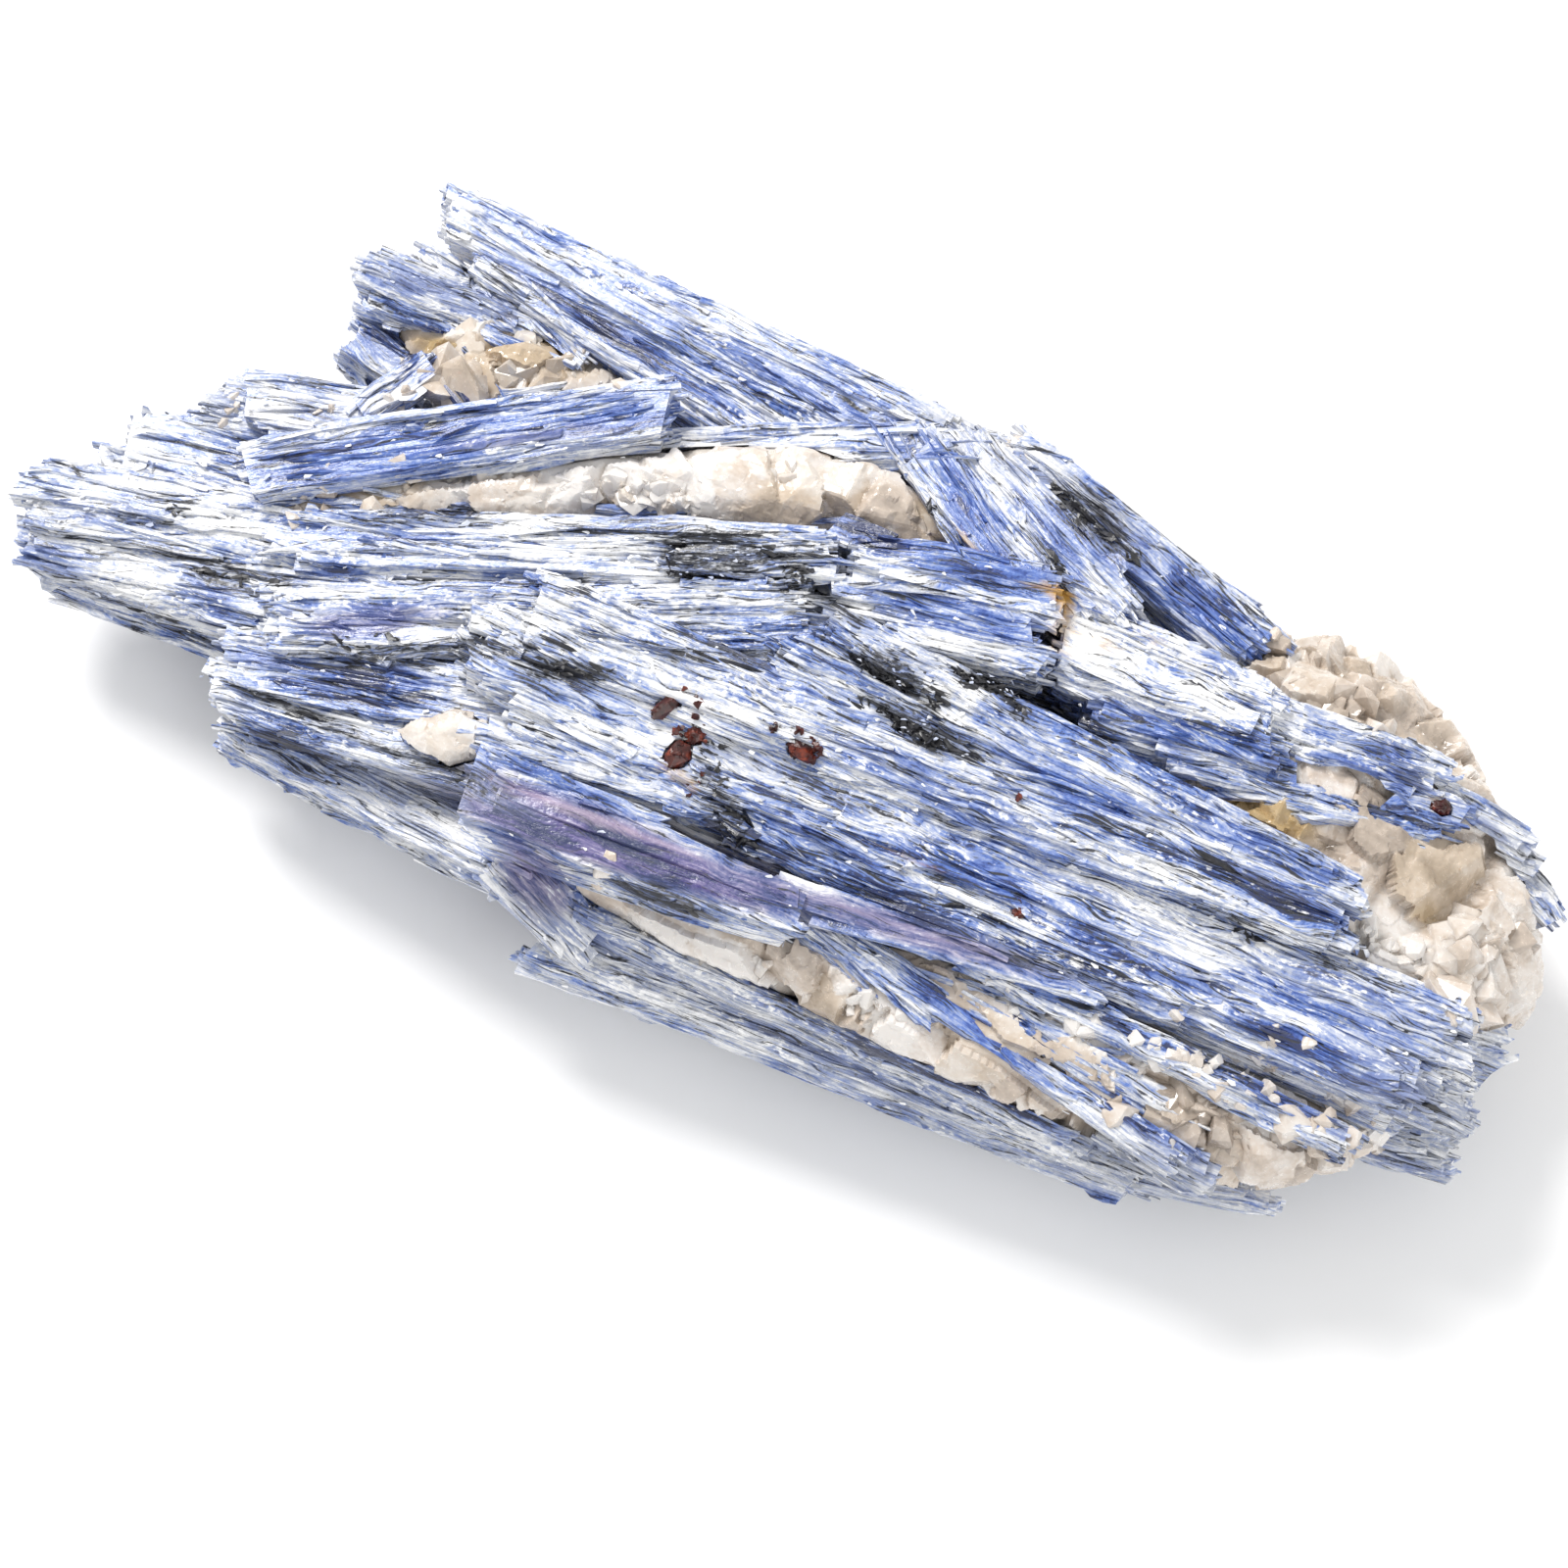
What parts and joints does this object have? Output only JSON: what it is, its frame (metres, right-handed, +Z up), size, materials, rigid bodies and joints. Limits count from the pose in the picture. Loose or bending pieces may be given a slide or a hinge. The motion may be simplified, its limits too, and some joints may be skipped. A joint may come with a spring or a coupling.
{
  "type": "mineral specimen",
  "caption": "Elongated hand specimen of blue kyanite: sprays of flat striated blades grown together, with quartz lenses, garnet grains and black mica between them.",
  "frame": {"origin": "on the ground, at the middle of the bounding box of the specimen lying on its flattest side", "axes": "+X along the specimen towards its wide splintered end, +Y across it towards the wide upper spray, +Z up"},
  "size_m": [0.1846, 0.0847, 0.0389],
  "materials": {
    "kyanite": "striated, vitreous to pearly",
    "quartz": "granular, milky to glassy",
    "garnet": "vitreous",
    "mica": "flaky, pearly"
  },
  "bodies": {
    "root": {"kyanite_blades": "kyanite", "quartz_north": "quartz", "quartz_middle": "quartz", "quartz_east": "quartz", "quartz_south": "quartz", "quartz_southwest": "quartz", "garnet_1": "garnet", "garnet_2": "garnet", "garnet_3": "garnet", "garnet_4": "garnet", "garnet_5": "garnet", "garnet_6": "garnet", "garnet_7": "garnet", "mica_middle": "mica", "mica_crest": "mica", "mica_crest_east": "mica", "mica_crest_south": "mica", "mica_fan": "mica", "mica_south": "mica"}
  },
  "joints": []
}
